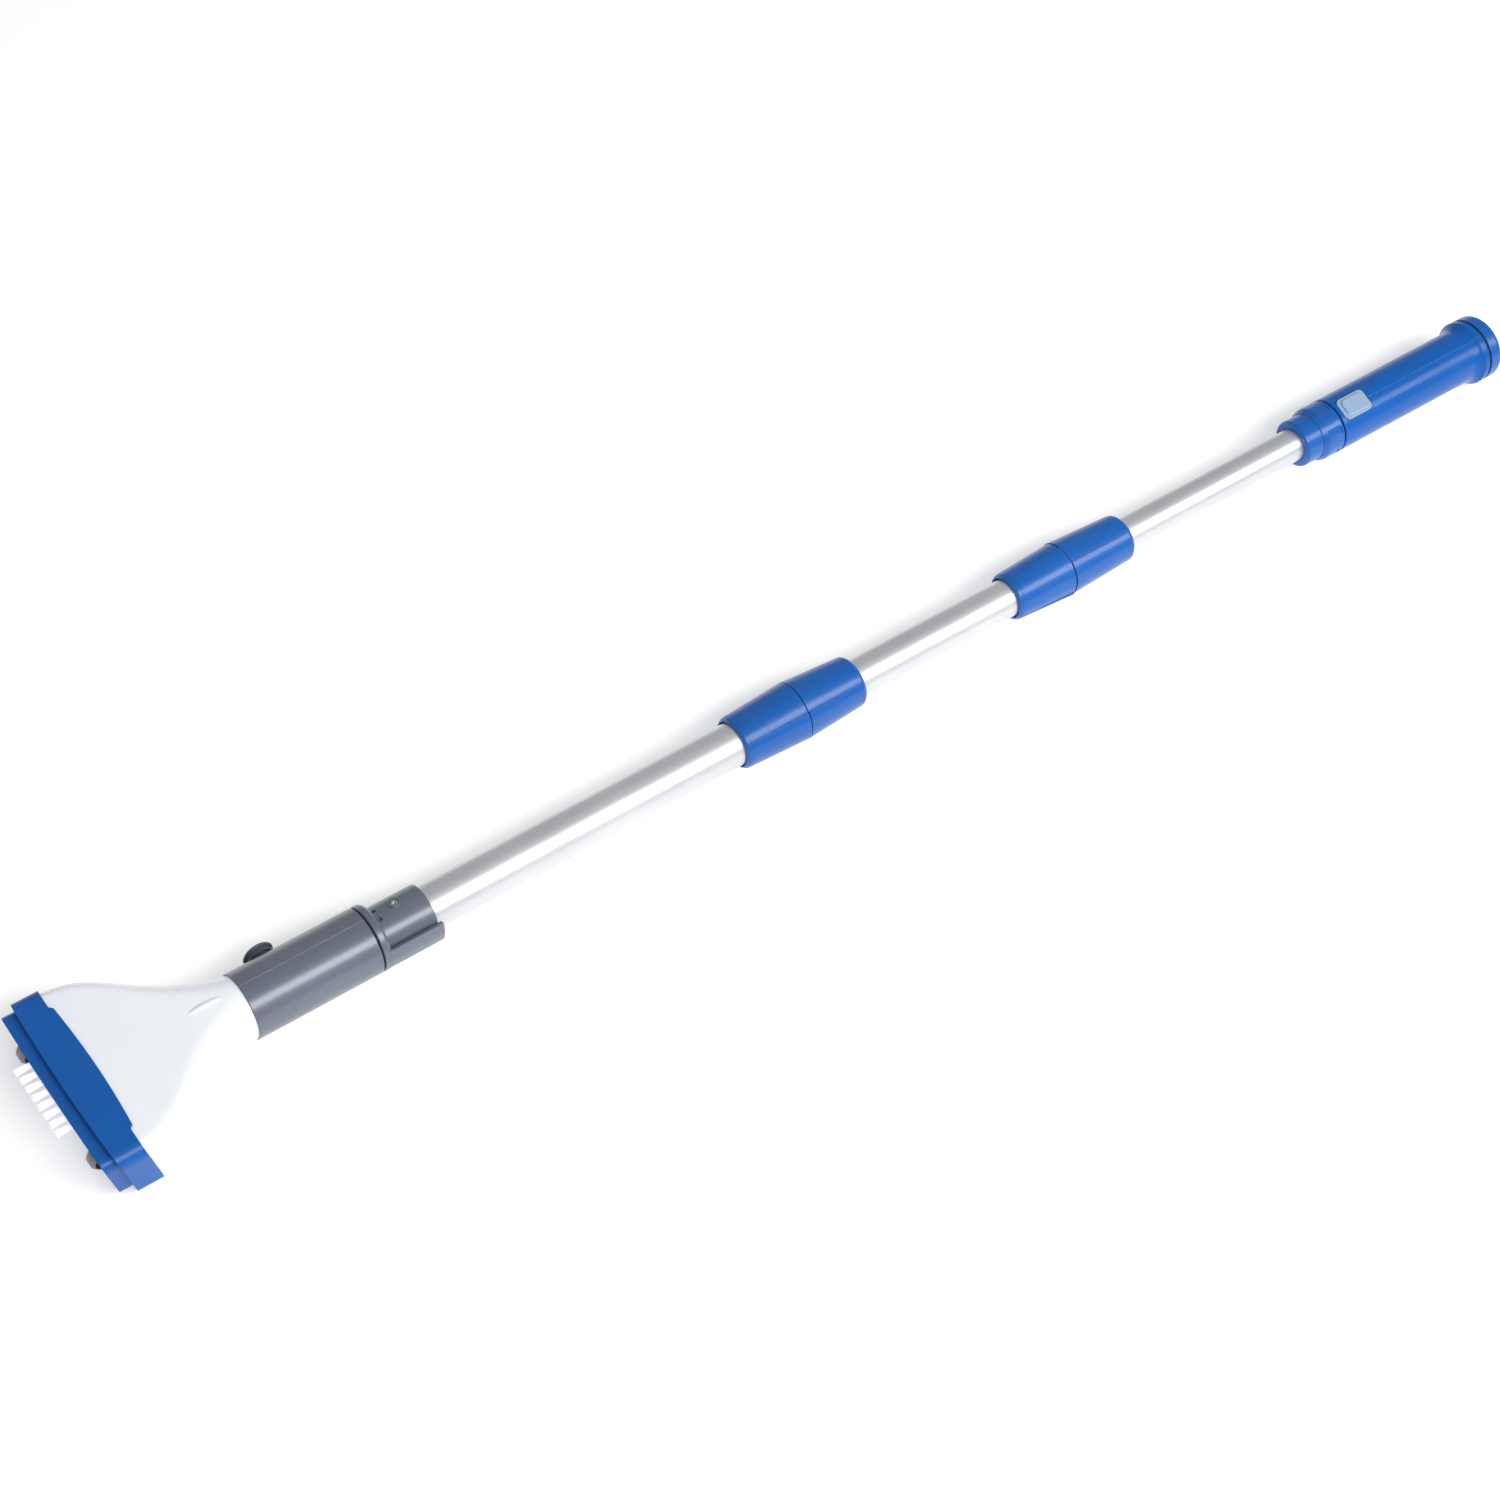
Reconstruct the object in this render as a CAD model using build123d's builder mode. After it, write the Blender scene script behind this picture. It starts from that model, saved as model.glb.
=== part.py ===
from build123d import *
import math
import os

# Telescopic pool cleaning wand: funnel suction head with brush and wheels,
# pump sleeve, three-tube pole with twist locks, and a battery grip.
# The pole lies along X, head at -X, grip at +X. +Z is up. Millimetres.
# The origin is on the floor under the middle of the whole length.

# ---------------------------------------------------------------- dimensions
AX = 24.1            # height of the pole's axis above the floor
XC = 82.1            # design x of the origin
TILT = 13.0          # lean of the mouth plane, top wall reaching further
X_MOUTH = -497.4     # mouth plane where it crosses the pole's axis
HZ = -0.6            # the head's middle plane, below the pole's axis
BAND_W, BAND_T, BAND_R = 132.4, 47.0, 9.0      # blue band, outside
SKIRT_W, SKIRT_T, SKIRT_R = 124.6, 39.4, 7.0   # inset skirt under the band
SKIRT_WALL = 2.0
WALL = 2.4           # white shell wall
TUFT_N, TUFT_PITCH, TUFT_Z = 8, 7.0, 14.4
TUFT_X0, TUFT_X1 = -498.5, -512.0
WHEEL_R, WHEEL_W, WHEEL_Y, WHEEL_X, WHEEL_Z = 9.0, 9.0, 42.4, -493.2, -1.5
SLEEVE_R, SLEEVE_IN = 22.35, 20.2
SLEEVE_X0, SLEEVE_X1 = -375.6, -287.9
SEAM = 2.0           # angle of the sleeve's parting line from the top
SPIGOT_A, SPIGOT_X = 92.0, -347.7
TAB_A = -85.0
COUPLER_R, COUPLER_END = 17.55, -245.5
SCREW_A, SCREW_X = 15.0, -264.4
T1_R, T1_IN = 15.0, 13.8       # outer tube
T2_R, T2_IN = 13.5, 12.3       # middle tube
T3_R, T3_IN = 12.0, 10.8       # inner tube
T1_X0, T1_X1 = -289.0, 34.0
T2_X0, T2_X1 = -150.0, 262.0
T3_X0, T3_X1 = 15.0, 520.0
LOCK1_CREASE, LOCK2_CREASE = -44.0, 13.0
GRIP_R, GRIP_IN, GRIP_TURN = 20.0, 17.8, -16.0
FLANGE_R = 24.1
BTN_L, BTN_W, BTN_X = 25.2, 16.8, 537.5

# ------------------------------------------------------------------- datums
AXP = Plane(origin=(-XC, 0, AX), x_dir=(1, 0, 0), z_dir=(0, -1, 0))
POLE = Axis((0, 0, AX), (1, 0, 0))
lean = math.radians(TILT)
MOUTH = Plane(origin=(X_MOUTH - XC, 0, AX), x_dir=(0, 1, 0),
              z_dir=(-math.sin(lean), 0, math.cos(lean)))


def cross(x, zc=0.0):
    """Plane square to the pole at design x; local x is Y, local y is Z."""
    return Plane(origin=(x - XC, 0, AX + zc), x_dir=(0, 1, 0), z_dir=(1, 0, 0))


def around(angle):
    """Plane through the pole's axis; local y points out at the angle from the top towards +Y."""
    a = math.radians(angle)
    return Plane(origin=(-XC, 0, AX), x_dir=(1, 0, 0), z_dir=(0, -math.cos(a), math.sin(a)))


def outward(x, angle, r):
    """Plane facing away from the pole at radius r; local x runs along the pole."""
    a = math.radians(angle)
    return Plane(origin=(x - XC, r * math.sin(a), AX + r * math.cos(a)),
                 x_dir=(1, 0, 0), z_dir=(0, math.sin(a), math.cos(a)))


def rounded_points(a, b, r, n=72):
    """n points round a rounded rectangle of half sizes a and b, closer together on its corners."""
    pts, turn = [(a, 0.0)], [0.0]
    for k, (cx, cy) in enumerate(((a - r, b - r), (r - a, b - r), (r - a, r - b), (a - r, r - b))):
        for i in range(31):
            t = 90 * k + 3 * i
            pts.append((cx + r * math.cos(math.radians(t)), cy + r * math.sin(math.radians(t))))
            turn.append(t / 360)
    pts.append((a, 0.0))
    turn.append(1.0)
    total = sum(math.dist(p, q) for p, q in zip(pts, pts[1:]))
    run, length = [0.0], 0.0
    for i in range(1, len(pts)):
        length += math.dist(pts[i - 1], pts[i])
        run.append(length / total + turn[i])
    out, k = [], 0
    for i in range(n):
        d = run[-1] * i / n
        while run[k + 1] < d:
            k += 1
        f = (d - run[k]) / max(run[k + 1] - run[k], 1e-9)
        out.append((pts[k][0] + f * (pts[k + 1][0] - pts[k][0]),
                    pts[k][1] + f * (pts[k + 1][1] - pts[k][1])))
    return out


def shell_section(x, a, b, r, zc):
    with BuildSketch(cross(x, zc)) as sk:
        with BuildLine():
            Spline(*rounded_points(a, b, r), periodic=True)
        make_face()
    return sk.sketch


def lobe_section(x, crease, r_hi, r_lo):
    """Three pads round the pole, each proud at its leading edge and falling back to its neighbour."""
    def at(ang, r):
        t = math.radians(ang)
        return (r * math.sin(t), r * math.cos(t))
    with BuildSketch(cross(x)) as sk:
        with BuildLine():
            for k in range(3):
                a0 = crease - 120 * k
                ThreePointArc(at(a0, r_hi), at(a0 - 60, (r_hi + r_lo) / 2), at(a0 - 120, r_lo))
                Line(at(a0 - 120, r_lo), at(a0 - 120, r_hi))
        make_face()
    return sk.sketch


# white funnel: design x, half width, half thickness, corner radius
FUNNEL = [
    (-501.90, 64.30, 21.80, 7.60),
    (-493.48, 64.30, 21.80, 7.60),
    (-485.06, 64.30, 21.80, 7.62),
    (-476.64, 64.29, 21.80, 7.86),
    (-468.22, 63.92, 21.82, 8.75),
    (-459.80, 62.81, 21.90, 10.39),
    (-451.38, 60.56, 21.90, 12.69),
    (-442.96, 56.64, 21.90, 14.93),
    (-434.54, 51.12, 21.90, 16.99),
    (-426.12, 45.32, 21.82, 18.84),
    (-417.70, 39.83, 21.80, 20.35),
    (-409.28, 34.92, 21.77, 21.28),
    (-400.86, 30.40, 21.63, 21.48),
    (-392.44, 26.27, 21.45, 21.35),
    (-384.02, 23.06, 21.28, 21.19),
    (-375.60, 21.25, 21.20, 21.15),
]


def head_z(x):
    return HZ * min(1.0, max(0.0, (x + 376.0) / -100.0))


# --------------------------------------------------------------- head shell
with BuildPart() as head_shell:
    loft([shell_section(x, a, b, r, head_z(x)) for x, a, b, r in FUNNEL])
    # spigot that enters the sleeve
    with BuildSketch(cross(-376.0)):
        Circle(20.0)
    extrude(amount=14.0)
    # hollow
    loft([shell_section(x, a - WALL, b - WALL, max(r - WALL, 5.2), head_z(x))
          for x, a, b, r in FUNNEL], mode=Mode.SUBTRACT)
    with BuildSketch(cross(-378.0)):
        Circle(17.8)
    extrude(amount=20.0, mode=Mode.SUBTRACT)
    # seat of the neck seal
    with BuildSketch(AXP):
        with BuildLine():
            Polyline((-369.5, 18.9), (-367.0, 18.9), (-367.0, 21.0), (-369.5, 21.0), close=True)
        make_face()
    revolve(axis=POLE, mode=Mode.SUBTRACT)
    # front end, parallel to the mouth, seated on the frame's ledge
    with BuildSketch(MOUTH):
        with Locations((0, 30)):
            Rectangle(200, 81.0)
    extrude(amount=70, both=True, mode=Mode.SUBTRACT)
    # long raised thumb mark on top of the neck, part of a slim spheroid
    with BuildSketch(Plane(origin=(-399.0 - XC, 0, AX + 18.1), x_dir=(1, 0, 0), z_dir=(0, -1, 0))):
        Ellipse(17.0, 4.8)
        with Locations((0, -5.0)):
            Rectangle(40.0, 10.0, mode=Mode.SUBTRACT)
    revolve(axis=Axis((-399.0 - XC, 0, AX + 18.1), (1, 0, 0)), revolution_arc=-180)
    with BuildSketch(cross(-420.0)):
        Ellipse(18.6, 18.7)
    extrude(amount=41.0, mode=Mode.SUBTRACT)

# ------------------------------------------------------------- mouth frame
with BuildPart() as shell_pocket:
    with BuildSketch(cross(-540.0, HZ)):
        RectangleRounded(129.6, 44.2, 7.8)
    extrude(amount=90.0)
    with BuildSketch(MOUTH):
        with Locations((0, -50.5)):
            Rectangle(200, 80.0)
    extrude(amount=60, both=True, mode=Mode.INTERSECT)

with BuildPart() as skirt:
    with BuildSketch(cross(-540.0, HZ)):
        RectangleRounded(SKIRT_W, SKIRT_T, SKIRT_R)
    extrude(amount=90.0)
    with BuildSketch(MOUTH):
        with BuildLine():
            Polyline((-80, -0.1), (-80, -10.2), (80, -10.2), (80, -0.1), (64, 0))
            ThreePointArc((64, 0), (0, 0.8), (-64, 0))
            Line((-64, 0), (-80, -0.1))
        make_face()
    extrude(amount=60, both=True, mode=Mode.INTERSECT)

with BuildPart() as mouth_frame:
    with BuildSketch(cross(-540.0, HZ)):
        RectangleRounded(BAND_W, BAND_T, BAND_R)
    extrude(amount=90.0)
    with BuildSketch(MOUTH):
        with BuildLine():
            Line((-80, -26.0), (-80, -9.0))
            Line((-80, -9.0), (-66, -8.8))
            ThreePointArc((-66, -8.8), (0, -7.2), (66, -8.8))
            Line((66, -8.8), (80, -9.0))
            Line((80, -9.0), (80, -26.0))
            Line((80, -26.0), (49.5, -26.0))
            Spline((49.5, -26.0), (47.6, -27.1), (45.8, -28.2), tangents=((-1, 0), (-1, -0.02)))
            ThreePointArc((45.8, -28.2), (0, -30.0), (-45.8, -28.2))
            Spline((-45.8, -28.2), (-47.6, -27.1), (-49.5, -26.0), tangents=((-1, 0.02), (-1, 0)))
            Line((-49.5, -26.0), (-80, -26.0))
        make_face()
    extrude(amount=60, both=True, mode=Mode.INTERSECT)
    add(shell_pocket.part, mode=Mode.SUBTRACT)
    add(skirt.part)
    # the mouth
    with BuildSketch(cross(-540.0, HZ)):
        RectangleRounded(SKIRT_W - 2 * SKIRT_WALL, SKIRT_T - 2 * SKIRT_WALL, SKIRT_R - SKIRT_WALL)
    extrude(amount=90.0, mode=Mode.SUBTRACT)
    # two forks standing on the lower wall, one round each wheel
    for side in (-1, 1):
        for dy in (-6.0, 6.0):
            with BuildSketch(Plane(origin=(-XC, side * WHEEL_Y + dy - 1.0, AX), x_dir=(1, 0, 0),
                                   z_dir=(0, -1, 0))):
                with BuildLine():
                    Polyline((-491.2, -18.6), (-497.4, -4.4), (-497.4, 0.6), (-495.4, 2.6),
                             (-490.0, 2.6), (-482.5, -8.0), (-482.5, -18.6), close=True)
                make_face()
            extrude(amount=-2.0)
    with BuildSketch(Plane(origin=(WHEEL_X - XC, 0, AX + WHEEL_Z), x_dir=(1, 0, 0), z_dir=(0, 1, 0))):
        Circle(1.5)
    extrude(amount=60.0, both=True, mode=Mode.SUBTRACT)

# -------------------------------------------------------------------- brush
with BuildPart() as brush_strip:
    with BuildSketch(Plane(origin=(-492.5 - XC, 0, AX + 11.6), x_dir=(1, 0, 0), z_dir=(0, 0, 1))):
        RectangleRounded(12.0, 62.0, 2.0)
    extrude(amount=17.1 - 11.6)

with BuildPart() as bristle_tufts:
    with BuildSketch(cross(TUFT_X0, TUFT_Z)):
        with GridLocations(TUFT_PITCH, 1, TUFT_N, 1):
            Circle(1.7)
    extrude(amount=TUFT_X1 - TUFT_X0, taper=-3.2)

# ------------------------------------------------------------------- wheels
with BuildPart() as wheel_axles:
    for side in (-1, 1):
        with BuildSketch(Plane(origin=(WHEEL_X - XC, side * WHEEL_Y, AX + WHEEL_Z),
                               x_dir=(1, 0, 0), z_dir=(0, 1, 0))):
            Circle(1.5)
        extrude(amount=7.6, both=True)

with BuildPart() as wheel_left:
    with BuildSketch(Plane(origin=(WHEEL_X - XC, WHEEL_Y, AX + WHEEL_Z), x_dir=(0, 1, 0), z_dir=(1, 0, 0))):
        with BuildLine():
            Polyline((-4.5, 1.56), (4.5, 1.56), (4.5, 2.9), (1.2, 3.3), (1.2, 6.2), (4.5, 6.6),
                     (4.5, 7.4), (2.6, 9.0), (-2.6, 9.0), (-4.5, 7.4), (-4.5, 6.6), (-1.2, 6.2),
                     (-1.2, 3.3), (-4.5, 2.9), close=True)
        make_face()
    revolve(axis=Axis((WHEEL_X - XC, 0, AX + WHEEL_Z), (0, 1, 0)))

with BuildPart() as wheel_right:
    add(mirror(wheel_left.part, about=Plane.XZ))

# -------------------------------------------------------- neck and filter
with BuildPart() as neck_seal:
    with BuildSketch(AXP):
        with BuildLine():
            Polyline((-369.4, 18.9), (-367.1, 18.9), (-367.1, 19.9), (-367.6, 20.18),
                     (-368.9, 20.18), (-369.4, 19.9), close=True)
        make_face()
    revolve(axis=POLE)

with BuildPart() as filter_basket:
    with BuildSketch(AXP):
        with BuildLine():
            Polyline((-394.0, 15.4), (-394.0, 17.0), (-366.0, 17.0), (-366.0, 17.75), (-363.0, 17.75),
                     (-363.0, 0.0), (-364.4, 0.0), (-364.4, 16.0), (-392.6, 16.0), (-392.6, 15.4),
                     close=True)
        make_face()
    revolve(axis=POLE)
    with BuildSketch(cross(-370.0)):
        with PolarLocations(12.4, 12):
            Circle(1.7)
        with PolarLocations(7.4, 8):
            Circle(1.7)
        Circle(2.2)
    extrude(amount=12.0, mode=Mode.SUBTRACT)
    for x in (-388.0, -380.5, -373.0):
        for a in range(0, 180, 30):
            with BuildSketch(outward(x, a, -25.0)):
                Rectangle(4.6, 4.6)
            extrude(amount=50.0, mode=Mode.SUBTRACT)

# ------------------------------------------------------------- sleeve halves
SLEEVE_PROFILE = [
    (SLEEVE_X0, SLEEVE_IN), (SLEEVE_X0, SLEEVE_R - 0.3), (SLEEVE_X0 + 0.3, SLEEVE_R),
    (SLEEVE_X1 - 0.5, SLEEVE_R), (SLEEVE_X1, SLEEVE_R - 0.5), (SLEEVE_X1, 17.85),
    (SLEEVE_X1 - 1.6, 17.85), (SLEEVE_X1 - 1.6, SLEEVE_IN),
]
with BuildPart() as sleeve_right:
    with BuildSketch(around(SEAM)):
        with BuildLine():
            Polyline(*SLEEVE_PROFILE, close=True)
        make_face()
    revolve(axis=POLE, revolution_arc=180)

with BuildPart() as sleeve_left:
    with BuildSketch(around(SEAM + 180)):
        with BuildLine():
            Polyline(*SLEEVE_PROFILE, close=True)
        make_face()
    revolve(axis=POLE, revolution_arc=180)
    with BuildSketch(outward(SPIGOT_X, SPIGOT_A, 15.0)):
        Circle(8.2)
    extrude(amount=12.0, mode=Mode.SUBTRACT)

# Flanged outlet on the side of the pump chamber, with a groove for a tie
with BuildPart() as outlet_spigot:
    with BuildSketch(Plane(outward(SPIGOT_X, SPIGOT_A, 0.0).origin, x_dir=(1, 0, 0),
                           z_dir=outward(SPIGOT_X, SPIGOT_A, 0.0).y_dir * -1)):
        with BuildLine():
            Polyline((6.5, 18.8), (8.15, 18.8), (8.15, 22.9), (9.4, 22.9), (9.4, 23.8), (8.4, 24.4),
                     (8.4, 26.2), (9.7, 26.6))
            ThreePointArc((9.7, 26.6), (10.35, 27.5), (9.5, 28.4))
            Polyline((9.5, 28.4), (7.2, 28.8), (6.5, 28.2), (6.5, 18.8))
        make_face()
    revolve(axis=Axis(outward(SPIGOT_X, SPIGOT_A, 0.0).origin, outward(SPIGOT_X, SPIGOT_A, 0.0).z_dir))

# --------------------------------------------------------------- pump motor
with BuildPart() as pump_plate:
    with BuildSketch(AXP):
        with BuildLine():
            Polyline((-334.5, 3.2), (-334.5, 20.15), (-331.0, 20.15), (-331.0, 14.3), (-327.0, 14.3),
                     (-327.0, 13.3), (-331.5, 13.3), (-331.5, 3.2), close=True)
        make_face()
    revolve(axis=POLE)

with BuildPart() as shaft_seal:
    with BuildSketch(AXP):
        with BuildLine():
            Polyline((-334.4, 1.56), (-334.4, 3.15), (-331.6, 3.15), (-331.6, 1.56), close=True)
        make_face()
    revolve(axis=POLE)

with BuildPart() as motor:
    with BuildSketch(AXP):
        with BuildLine():
            Polyline((-331.0, 1.56), (-331.0, 13.2), (-304.0, 13.2), (-302.6, 11.8), (-302.6, 0.0),
                     (-312.0, 0.0), (-312.0, 1.56), close=True)
        make_face()
    revolve(axis=POLE)

with BuildPart() as motor_shaft:
    with BuildSketch(cross(-349.5)):
        Circle(1.5)
    extrude(amount=37.0)

with BuildPart() as impeller:
    with BuildSketch(cross(-355.0)):
        Circle(4.2)
    extrude(amount=8.0)
    with BuildSketch(cross(-348.2)):
        Circle(14.0)
    extrude(amount=1.2)
    with BuildSketch(cross(-354.6)):
        with PolarLocations(0, 5):
            with BuildLine():
                Polyline((3.6, -0.6), (9.0, -1.8), (13.6, -4.6), (14.0, -3.4), (9.4, -0.6),
                         (3.6, 0.7), close=True)
            make_face()
    extrude(amount=7.0)
    with BuildSketch(cross(-349.5)):
        Circle(1.5)
    extrude(amount=4.0, mode=Mode.SUBTRACT)

# ---------------------------------------------------- latch collar, coupler
with BuildPart() as latch_collar:
    with BuildSketch(AXP):
        with BuildLine():
            Polyline((-286.7, 17.85), (-286.7, 21.7))
            ThreePointArc((-286.7, 21.7), (-286.4, 22.2), (-285.8, 22.35))
            Line((-285.8, 22.35), (-283.6, 22.35))
            ThreePointArc((-283.6, 22.35), (-281.4, 21.3), (-280.4, 18.6))
            Polyline((-280.4, 18.6), (-280.4, 17.85), (-286.7, 17.85))
        make_face()
    revolve(axis=POLE)
    with BuildSketch(around(TAB_A + 20.5)):
        with BuildLine():
            Polyline((-284.5, 19.6), (-284.5, 22.3), (-283.6, 22.6), (-245.6, 22.6))
            ThreePointArc((-245.6, 22.6), (-244.2, 22.1), (-243.6, 20.9))
            Polyline((-243.6, 20.9), (-243.6, 19.6), (-284.5, 19.6))
        make_face()
    revolve(axis=POLE, revolution_arc=41)
    # rounded corners at the tab's free end
    with BuildSketch(outward(-243.6, TAB_A, 15.0)):
        for s in (-1, 1):
            with Locations((0, s * 7.93)):
                Rectangle(5.0, 5.0)
        for s in (-1, 1):
            with Locations((-2.5, s * 5.43)):
                Circle(2.5, mode=Mode.SUBTRACT)
    extrude(amount=12.0, mode=Mode.SUBTRACT)

with BuildPart() as coupler:
    with BuildSketch(AXP):
        with BuildLine():
            Polyline((-299.0, 3.0), (-299.0, 20.1), (SLEEVE_X1 - 1.7, 20.1), (SLEEVE_X1 - 1.7, COUPLER_R),
                     (COUPLER_END - 0.9, COUPLER_R))
            ThreePointArc((COUPLER_END - 0.9, COUPLER_R), (COUPLER_END - 0.25, COUPLER_R - 0.27),
                          (COUPLER_END, COUPLER_R - 0.9))
            Polyline((COUPLER_END, COUPLER_R - 0.9), (COUPLER_END, T1_R + 0.02), (T1_X0, T1_R + 0.02),
                     (T1_X0, 3.0), (-299.0, 3.0))
        make_face()
    revolve(axis=POLE)
    # raised boss round the fixing screw
    with BuildSketch(outward(SCREW_X, SCREW_A, 15.6)):
        Circle(4.5)
    extrude(amount=2.75, taper=6)
    with BuildSketch(outward(SCREW_X, SCREW_A, 16.2)):
        Circle(2.75)
    extrude(amount=5.0, mode=Mode.SUBTRACT)
    with BuildSketch(outward(SCREW_X, SCREW_A, 14.0)):
        Circle(1.55)
    extrude(amount=5.0, mode=Mode.SUBTRACT)
    # two small square drain pockets beside the collar
    for a in (22.0, -4.0):
        with BuildSketch(outward(-278.3, a, 15.6)):
            Rectangle(2.8, 3.0)
        extrude(amount=4.0, mode=Mode.SUBTRACT)

with BuildPart() as coupler_screw:
    with BuildSketch(outward(SCREW_X, SCREW_A, 16.25)):
        Circle(2.6)
    extrude(amount=1.7)
    fillet(coupler_screw.faces().sort_by_distance(outward(SCREW_X, SCREW_A, 40.0).origin)[0].edges(), 0.5)
    with BuildSketch(outward(SCREW_X, SCREW_A, 13.9)):
        Circle(1.5)
    extrude(amount=2.6)
    with BuildSketch(outward(SCREW_X, SCREW_A, 16.9)):
        RegularPolygon(1.35, 6)
    extrude(amount=2.0, mode=Mode.SUBTRACT)

# -------------------------------------------------------------------- tubes
with BuildPart() as outer_tube:
    with BuildSketch(cross(T1_X0)):
        Circle(T1_R)
        Circle(T1_IN, mode=Mode.SUBTRACT)
    extrude(amount=T1_X1 - T1_X0)
    with BuildSketch(outward(SCREW_X, SCREW_A, 10.0)):
        Circle(1.5)
    extrude(amount=8.0, mode=Mode.SUBTRACT)

with BuildPart() as middle_tube:
    with BuildSketch(cross(T2_X0)):
        Circle(T2_R)
        Circle(T2_IN, mode=Mode.SUBTRACT)
    extrude(amount=T2_X1 - T2_X0)

with BuildPart() as middle_bushing:
    with BuildSketch(cross(T2_X0 - 8.0)):
        Circle(T1_IN - 0.05)
        Circle(T2_IN + 0.1, mode=Mode.SUBTRACT)
    extrude(amount=8.0)

with BuildPart() as inner_tube:
    with BuildSketch(cross(T3_X0)):
        Circle(T3_R)
        Circle(T3_IN, mode=Mode.SUBTRACT)
    extrude(amount=T3_X1 - T3_X0)

with BuildPart() as inner_bushing:
    with BuildSketch(cross(T3_X0 - 8.0)):
        Circle(T2_IN - 0.05)
        Circle(9.6, mode=Mode.SUBTRACT)
    extrude(amount=8.0)

# --------------------------------------------------------------- twist locks
with BuildPart() as lock1_base:
    loft([lobe_section(-4.6, LOCK1_CREASE, 18.72, 18.62), lobe_section(40.3, LOCK1_CREASE, 21.25, 20.2)],
         ruled=True)
    with BuildSketch(AXP):
        with BuildLine():
            Polyline((-4.6, 0.0), (-4.6, 18.5))
            ThreePointArc((-4.6, 18.5), (-7.9, 17.85), (-9.0, 16.7))
            Polyline((-9.0, 16.7), (-9.0, 0.0), (-4.6, 0.0))
        make_face()
    revolve(axis=POLE)
    with BuildSketch(cross(39.0)):
        Circle(16.8)
    extrude(amount=19.0)
    with BuildSketch(AXP):
        with BuildLine():
            Polyline((-9.5, 0.0), (-9.5, 16.1), (-5.0, 15.9), (-5.0, T1_R + 0.02), (T1_X1, T1_R + 0.02),
                     (T1_X1, 13.9), (59.0, 13.9), (59.0, 0.0), close=True)
        make_face()
    revolve(axis=POLE, mode=Mode.SUBTRACT)

with BuildPart() as lock1_nut:
    loft([lobe_section(41.0, LOCK1_CREASE, 21.25, 20.2), lobe_section(84.6, LOCK1_CREASE, 18.25, 18.15)],
         ruled=True)
    with BuildSketch(AXP):
        with BuildLine():
            Polyline((84.6, 0.0), (84.6, 18.05))
            ThreePointArc((84.6, 18.05), (88.2, 17.25), (89.3, 15.9))
            Polyline((89.3, 15.9), (89.3, 0.0), (84.6, 0.0))
        make_face()
    revolve(axis=POLE)
    with BuildSketch(AXP):
        with BuildLine():
            Polyline((40.0, 0.0), (40.0, 17.1), (59.5, 17.1), (59.5, 16.2), (76.0, 15.0), (76.0, 13.8),
                     (86.5, 13.8), (90.0, 14.4), (90.0, 0.0), close=True)
        make_face()
    revolve(axis=POLE, mode=Mode.SUBTRACT)

with BuildPart() as lock1_collet:
    with BuildSketch(AXP):
        with BuildLine():
            Polyline((58.2, T2_R + 0.05), (58.2, 15.9), (75.4, 14.65), (75.4, T2_R + 0.05), close=True)
        make_face()
    revolve(axis=POLE)
    with BuildSketch(outward(68.4, -90.0, 8.0)):
        Rectangle(17.0, 1.6)
    extrude(amount=12.0, mode=Mode.SUBTRACT)

with BuildPart() as lock2_base:
    loft([lobe_section(225.4, LOCK2_CREASE, 17.22, 17.12), lobe_section(268.3, LOCK2_CREASE, 20.0, 19.05)],
         ruled=True)
    with BuildSketch(AXP):
        with BuildLine():
            Polyline((225.4, 0.0), (225.4, 17.0))
            ThreePointArc((225.4, 17.0), (222.2, 16.35), (221.2, 15.3))
            Polyline((221.2, 15.3), (221.2, 0.0), (225.4, 0.0))
        make_face()
    revolve(axis=POLE)
    with BuildSketch(cross(267.0)):
        Circle(15.3)
    extrude(amount=18.0)
    with BuildSketch(AXP):
        with BuildLine():
            Polyline((220.5, 0.0), (220.5, 14.7), (225.0, 14.5), (225.0, T2_R + 0.02), (T2_X1, T2_R + 0.02),
                     (T2_X1, 12.4), (286.0, 12.4), (286.0, 0.0), close=True)
        make_face()
    revolve(axis=POLE, mode=Mode.SUBTRACT)

with BuildPart() as lock2_nut:
    loft([lobe_section(269.1, LOCK2_CREASE - 42.0, 20.0, 19.05),
          lobe_section(319.8, LOCK2_CREASE - 42.0, 17.35, 17.25)], ruled=True)
    with BuildSketch(AXP):
        with BuildLine():
            Polyline((319.8, 0.0), (319.8, 17.15))
            ThreePointArc((319.8, 17.15), (323.2, 16.35), (324.4, 15.0))
            Polyline((324.4, 15.0), (324.4, 0.0), (319.8, 0.0))
        make_face()
    revolve(axis=POLE)
    with BuildSketch(AXP):
        with BuildLine():
            Polyline((268.0, 0.0), (268.0, 15.6), (286.5, 15.6), (286.5, 14.8), (302.0, 13.6), (302.0, 12.3),
                     (321.8, 12.3), (325.0, 12.9), (325.0, 0.0), close=True)
        make_face()
    revolve(axis=POLE, mode=Mode.SUBTRACT)

with BuildPart() as lock2_collet:
    with BuildSketch(AXP):
        with BuildLine():
            Polyline((285.2, T3_R + 0.05), (285.2, 14.5), (301.4, 13.25), (301.4, T3_R + 0.05), close=True)
        make_face()
    revolve(axis=POLE)
    with BuildSketch(outward(294.9, -90.0, 8.0)):
        Rectangle(16.0, 1.6)
    extrude(amount=12.0, mode=Mode.SUBTRACT)

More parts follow.
